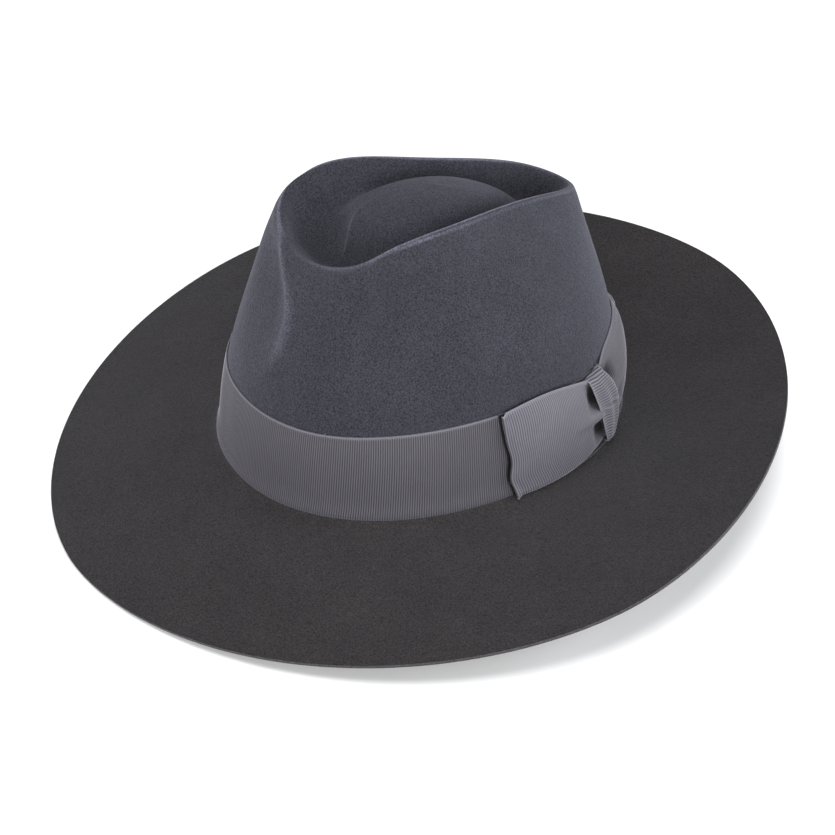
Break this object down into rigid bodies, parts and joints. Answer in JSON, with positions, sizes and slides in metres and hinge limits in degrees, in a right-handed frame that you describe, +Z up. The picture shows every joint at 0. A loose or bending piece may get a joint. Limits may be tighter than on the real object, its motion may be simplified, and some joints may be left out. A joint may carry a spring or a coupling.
{
  "type": "fedora hat",
  "caption": "Wide-brim fur felt fedora with a pinched teardrop crown, a ribbed ribbon band with a flat side bow, a leather sweatband and a satin lining.",
  "frame": {"origin": "middle of the head opening, level with the break between the crown and the brim", "axes": "+Z up through the crown, -Y towards the hat's front, +X towards the wearer's left, where the bow is"},
  "size_m": [0.3488, 0.3839, 0.1474],
  "materials": {
    "felt": "dense fur felt with a short soft nap",
    "ribbon": "ribbed grosgrain ribbon, slightly lustrous across its ribs",
    "thread": "fine sewing thread",
    "leather": "smooth dark brown sweatband leather",
    "seam_ribbon": "narrow black satin ribbon",
    "tape": "thin woven tape",
    "reed": "springy translucent plastic",
    "satin": "smooth satin lining",
    "piping": "satin-covered cord",
    "paper": "stiff uncoated paper"
  },
  "bodies": {
    "root": {"felt_body": "felt", "band_ribbon": "ribbon", "band_tacks": "thread", "bow_front_loop": "ribbon", "bow_rear_loop": "ribbon", "bow_knot": "ribbon", "bow_tacks": "thread", "sweatband": "leather", "sweatband_reed": "reed", "reed_tape": "tape", "sweatband_stitching": "thread", "sweatband_seam_tape": "seam_ribbon", "sweatband_bow": "seam_ribbon", "sweatband_bow_knot": "seam_ribbon", "lining_side": "satin", "lining_tip": "satin", "lining_piping": "piping", "lining_tacks": "thread", "size_tag": "paper"}
  },
  "joints": []
}
